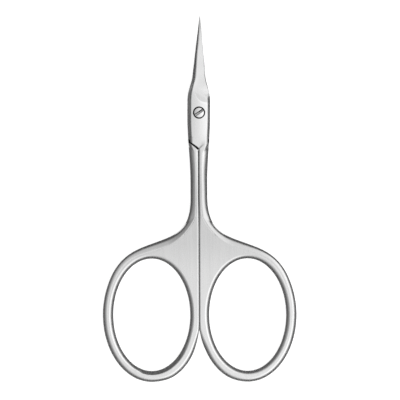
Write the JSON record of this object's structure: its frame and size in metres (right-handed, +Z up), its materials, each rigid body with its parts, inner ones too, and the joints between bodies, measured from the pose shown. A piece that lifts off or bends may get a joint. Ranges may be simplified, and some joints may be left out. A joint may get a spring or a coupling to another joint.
{
  "type": "cuticle scissors",
  "caption": "Slim cuticle scissors in brushed steel with oval finger bows, long narrow shanks, a slotted pivot screw and fine tower-point blades that curve upward.",
  "frame": {"origin": "pivot axis at the back face of the lower half's joint plate, on which the closed scissors lie", "axes": "+Z up through the pivot screw towards its slotted head, +Y from the pivot towards the tips, +X towards the upper half's finger bow"},
  "size_m": [0.0478, 0.0899, 0.0047],
  "materials": {
    "half_steel": "satin, brushed along the length",
    "screw_steel": "smooth turned"
  },
  "bodies": {
    "lower": {"lower_half": "half_steel", "pivot_screw": "screw_steel"},
    "upper": {"upper_half": "half_steel"}
  },
  "joints": [
    {"name": "pivot", "type": "hinge", "parent": "lower", "child": "upper", "pos_m": [0, 0, 0.0015], "axis": [0, 0, 1], "range_deg": [0, 90]}
  ]
}
